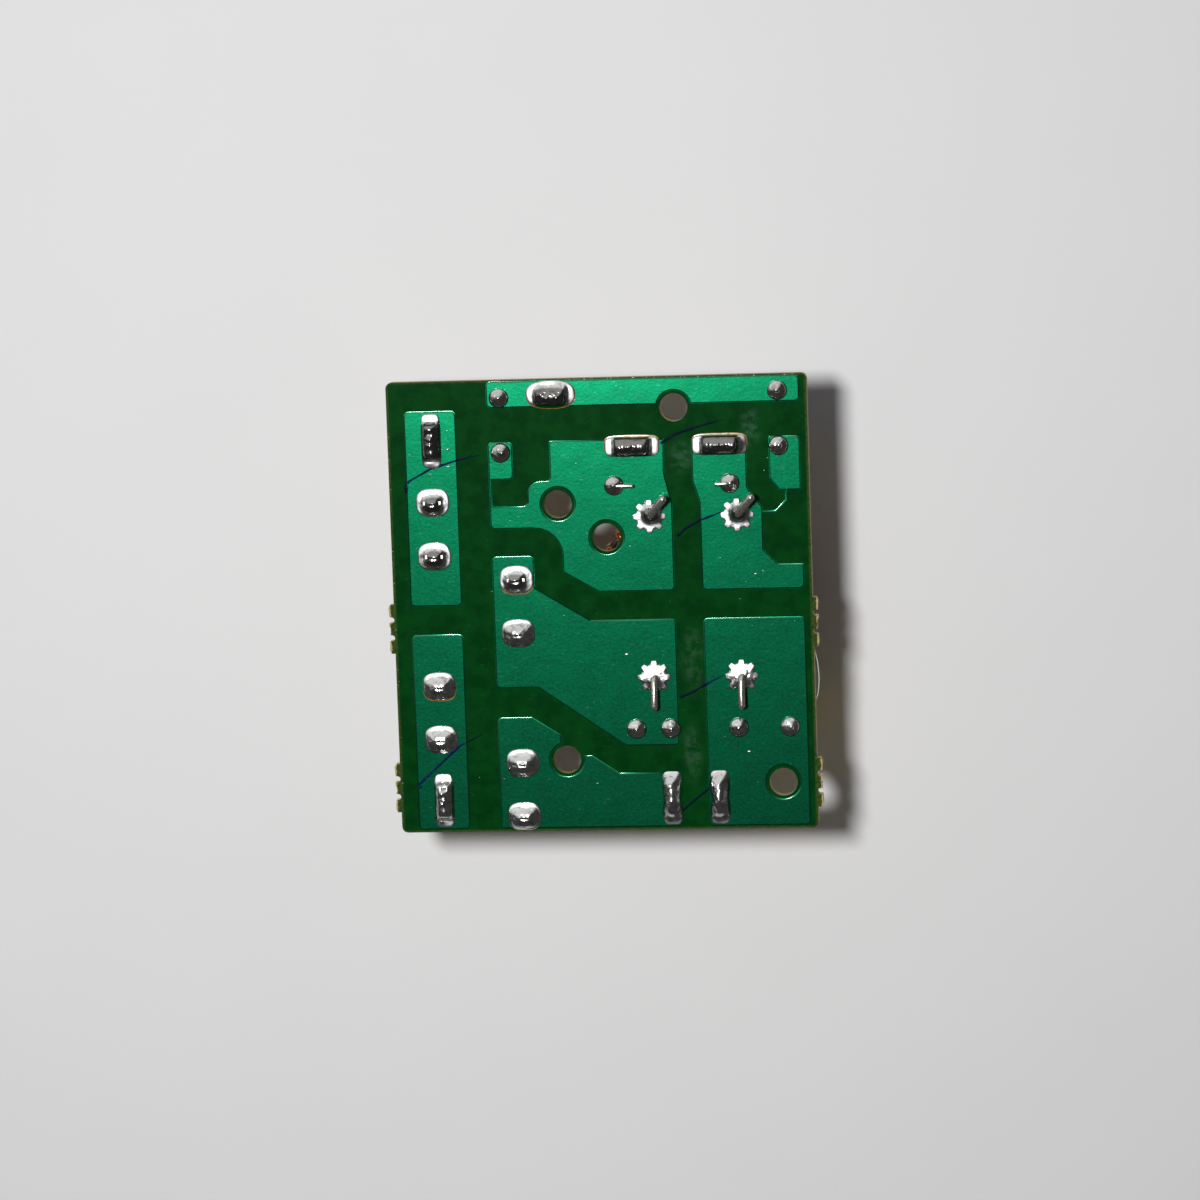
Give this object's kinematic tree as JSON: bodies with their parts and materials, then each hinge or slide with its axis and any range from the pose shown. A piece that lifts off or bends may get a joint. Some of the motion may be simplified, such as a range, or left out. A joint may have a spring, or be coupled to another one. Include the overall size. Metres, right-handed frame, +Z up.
{
  "type": "noise filter board",
  "caption": "Mains noise filter circuit board lying solder side up on its parts: green masked copper lands, solder joints, torn breakaway stubs, choke, capacitors and glass fuses beneath.",
  "frame": {"origin": "under the middle of the board, on the surface that the choke and the X capacitor stand on", "axes": "+X across the board towards the lands' free right side, +Y along the board towards the earth strip, +Z up out of the solder side"},
  "size_m": [0.0632, 0.0666, 0.0215],
  "materials": {
    "laminate": "glass and paper laminate, green solder mask on the solder side, bare tan on the sides and the component side",
    "solder_mask": "glossy green solder mask over copper",
    "tinned_brass": "satin tin plate",
    "clip_metal": "satin tin plate on spring bronze",
    "fuse_glass": "clear",
    "cap_metal": "bright nickel plate",
    "fuse_element": "bright drawn wire",
    "core_coating": "satin epoxy coating",
    "divider_plastic": "satin moulded plastic",
    "enamelled_copper": "glossy clear red-brown enamel over copper",
    "case_plastic": "semi-gloss moulded plastic",
    "resin": "glossy cast resin",
    "tinned_lead": "bright tinned wire",
    "disc_coating": "glossy dipped epoxy",
    "resistor_coating": "semi-gloss lacquer",
    "solder": "bright solder with dull, frosted patches"
  },
  "bodies": {
    "root": {"laminate": "laminate", "land_fuse_upper": "solder_mask", "land_fuse_lower": "solder_mask", "land_earth": "solder_mask", "land_output_left": "solder_mask", "land_output_right": "solder_mask", "land_choke_left": "solder_mask", "land_input_left": "solder_mask", "land_input_right": "solder_mask", "tab_fuse_upper": "tinned_brass", "tab_fuse_lower": "tinned_brass", "tab_output_left": "tinned_brass", "tab_output_right": "tinned_brass", "tab_input_left": "tinned_brass", "tab_input_right": "tinned_brass", "tab_earth": "tinned_brass", "clip_a_upper": "clip_metal", "clip_a_lower": "clip_metal", "clip_b_upper": "clip_metal", "clip_b_lower": "clip_metal", "fuse_a_glass": "fuse_glass", "fuse_a_cap_upper": "cap_metal", "fuse_a_cap_lower": "cap_metal", "fuse_a_wire": "fuse_element", "fuse_b_glass": "fuse_glass", "fuse_b_cap_upper": "cap_metal", "fuse_b_cap_lower": "cap_metal", "fuse_b_wire": "fuse_element", "choke_core": "core_coating", "choke_divider": "divider_plastic", "choke_winding_left": "enamelled_copper", "choke_winding_right": "enamelled_copper", "x_capacitor_case": "case_plastic", "x_capacitor_resin": "resin", "x_capacitor_leads": "tinned_lead", "y_capacitor_left": "disc_coating", "y_capacitor_left_leads": "tinned_lead", "y_capacitor_right": "disc_coating", "y_capacitor_right_leads": "tinned_lead", "resistor_body": "resistor_coating", "resistor_leads": "tinned_lead", "solder_fuse_tabs": "solder", "solder_output_tabs": "solder", "solder_input_tabs": "solder", "solder_earth_tab": "solder", "solder_clips_a": "solder", "solder_clips_b": "solder", "solder_choke": "solder", "solder_x_capacitor": "solder", "solder_y_capacitors": "solder", "solder_resistor": "solder"}
  },
  "joints": []
}
